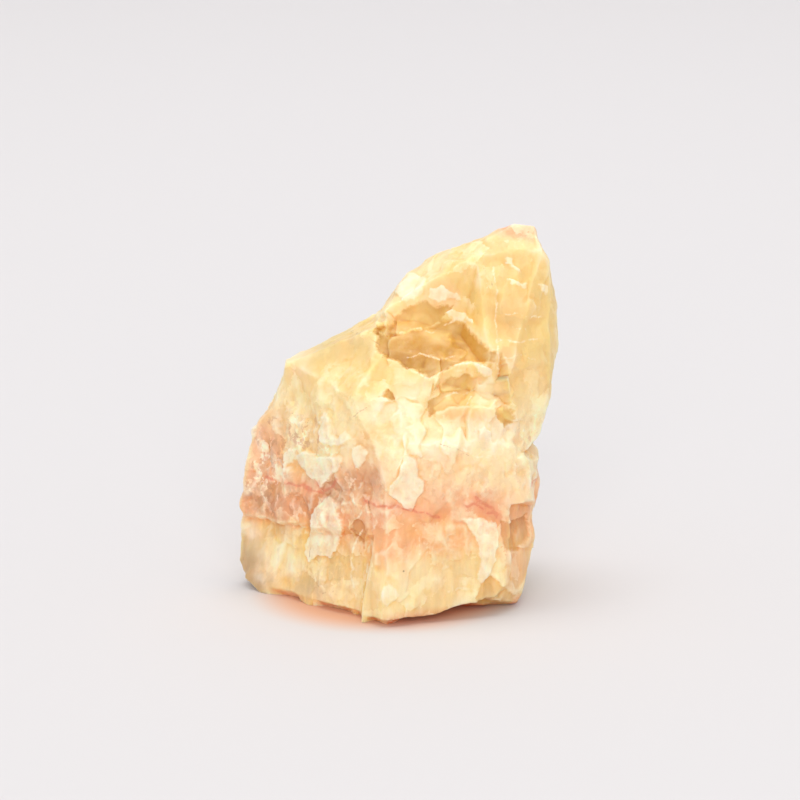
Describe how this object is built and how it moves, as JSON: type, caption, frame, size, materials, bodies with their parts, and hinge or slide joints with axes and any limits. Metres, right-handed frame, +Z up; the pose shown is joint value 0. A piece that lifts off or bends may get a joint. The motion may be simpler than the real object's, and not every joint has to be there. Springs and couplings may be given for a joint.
{
  "type": "orange calcite specimen",
  "caption": "Rough hand-size lump of banded orange calcite, leaning to a peak on one side, standing upright on its flat broken foot.",
  "frame": {"origin": "on the surface it stands on, under the middle of its bounding box", "axes": "+Z up; -Y towards the broad front with the amber hollow; +X towards the side that carries the peak"},
  "size_m": [0.0644, 0.0454, 0.076],
  "materials": {
    "calcite": "rough broken faces with a soft waxy gloss, cloudy and lit through at thin edges"
  },
  "bodies": {
    "root": {"orange_calcite": "calcite"}
  },
  "joints": []
}
